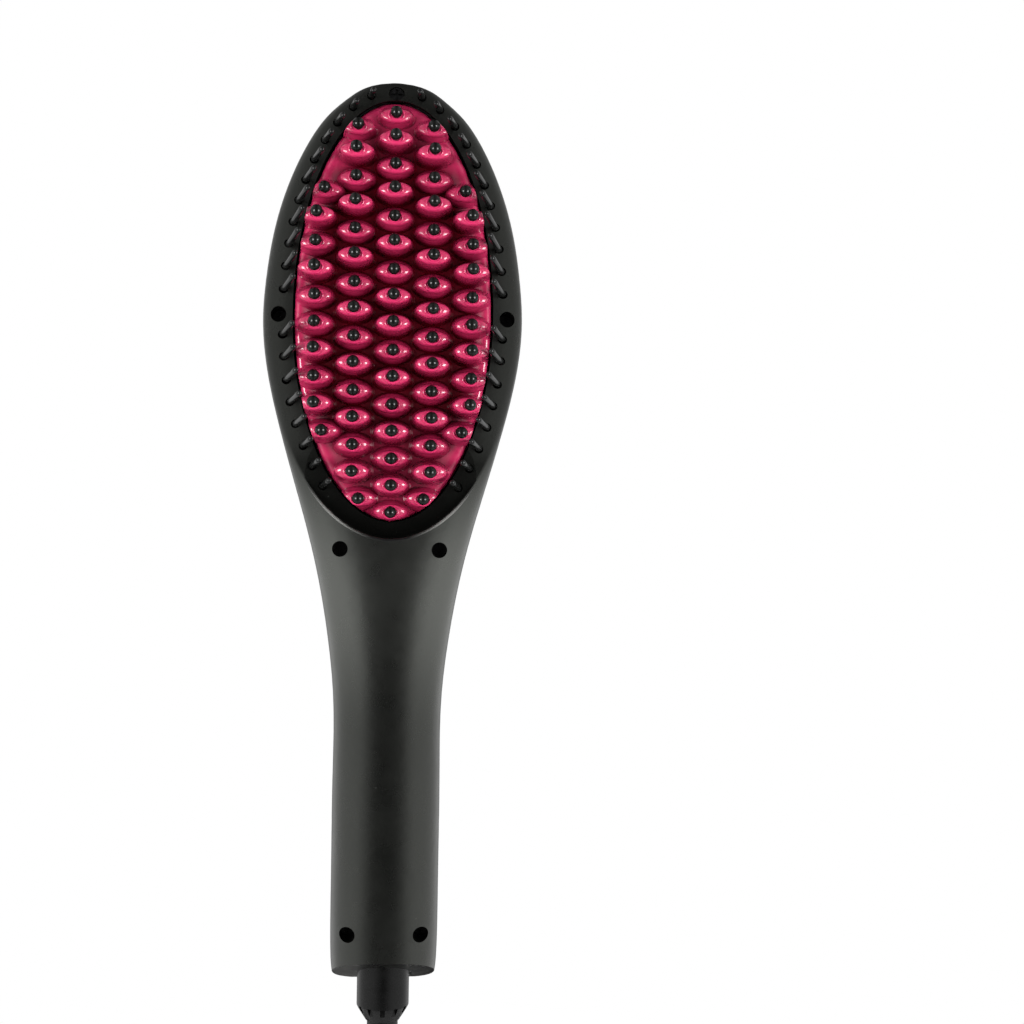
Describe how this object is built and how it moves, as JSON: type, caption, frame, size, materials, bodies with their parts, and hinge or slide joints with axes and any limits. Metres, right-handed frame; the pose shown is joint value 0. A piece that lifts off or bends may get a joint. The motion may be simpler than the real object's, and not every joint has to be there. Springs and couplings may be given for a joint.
{
  "type": "hair straightening brush",
  "caption": "Corded hair straightening brush with an arched heated plate of ball-tipped teeth, rim bristles, a display and push buttons on the handle, and a swivelling cord with a plug.",
  "frame": {"origin": "middle of the hand grip, on the parting plane of the two casings", "axes": "+Z along the brush towards the head's tip, +Y towards the back with the controls, +X to the right of the view that shows the teeth"},
  "size_m": [0.1022, 0.143, 0.3279],
  "materials": {
    "soft_black": "soft-touch matte",
    "plate_coating": "glossy crimson coating",
    "tip_black": "satin",
    "bristle_black": "satin",
    "gasket": "matt",
    "heater_film": "amber film",
    "insulation": "woven sheet",
    "sheet_steel": "bare",
    "steel_screw": "zinc plated",
    "sensor_bead": "dipped",
    "fuse_can": "bare",
    "lead_red": "silicone sleeve",
    "lead_white": "silicone sleeve",
    "lead_brown": "silicone sleeve",
    "black_screw": "black oxide",
    "board_green": "lacquered",
    "chip_black": "moulded",
    "capacitor_yellow": "moulded",
    "panel_gloss": "polished",
    "window_clear": "clear",
    "display_blue": "blue display cell",
    "backlight_white": "milky",
    "holder_black": "moulded",
    "switch_black": "moulded",
    "button_black": "semi gloss",
    "stem_grey": "moulded",
    "swivel_black": "satin",
    "contact_brass": "bare",
    "relief_black": "matt",
    "cord_black": "matt jacket",
    "tie_black": "matt strap",
    "plug_black": "moulded",
    "pin_nickel": "nickel plated"
  },
  "bodies": {
    "brush_body": {"front_casing": "soft_black", "rear_casing": "soft_black", "heating_plate": "plate_coating", "tooth_tips": "tip_black", "rim_bristles": "bristle_black", "plate_gasket": "gasket", "heating_film": "heater_film", "insulation_sheet": "insulation", "heater_clamp": "sheet_steel", "clamp_screws": "steel_screw", "thermistor": "sensor_bead", "thermal_fuse": "fuse_can", "heater_leads": "lead_red", "sensor_leads": "lead_white", "mains_leads": "lead_brown", "rim_screws": "black_screw", "neck_screws": "black_screw", "handle_screws": "black_screw", "control_board": "board_green", "board_screws": "steel_screw", "controller_chip": "chip_black", "triac": "chip_black", "capacitor": "capacitor_yellow", "control_panel": "panel_gloss", "display_window": "window_clear", "display_glass": "display_blue", "display_backlight": "backlight_white", "display_holder": "holder_black", "switch_bodies": "switch_black", "slip_contacts": "contact_brass", "contact_holder": "holder_black", "power_cord": "cord_black", "cord_coil": "cord_black", "cord_tie": "tie_black", "plug_body": "plug_black", "plug_pins": "pin_nickel"},
    "plus_key": {"plus_button": "button_black", "plus_switch_stem": "stem_grey"},
    "minus_key": {"minus_button": "button_black", "minus_switch_stem": "stem_grey"},
    "power_key": {"power_button": "button_black", "power_switch_stem": "stem_grey"},
    "cord_swivel": {"swivel_barrel": "swivel_black", "slip_rings": "contact_brass", "strain_relief": "relief_black"}
  },
  "joints": [
    {"name": "plus_press", "type": "slide", "parent": "brush_body", "child": "plus_key", "axis": [0, -1, 0], "range_m": [0, 0.0006], "stiffness_N_per_m": 500},
    {"name": "minus_press", "type": "slide", "parent": "brush_body", "child": "minus_key", "axis": [0, -1, 0], "range_m": [0, 0.0006], "stiffness_N_per_m": 500},
    {"name": "power_press", "type": "slide", "parent": "brush_body", "child": "power_key", "axis": [0, -1, 0], "range_m": [0, 0.0006], "stiffness_N_per_m": 500},
    {"name": "cord_swivel_turn", "type": "hinge", "parent": "brush_body", "child": "cord_swivel", "pos_m": [0, 0, -0.05], "axis": [0, 0, 1], "continuous": true}
  ]
}
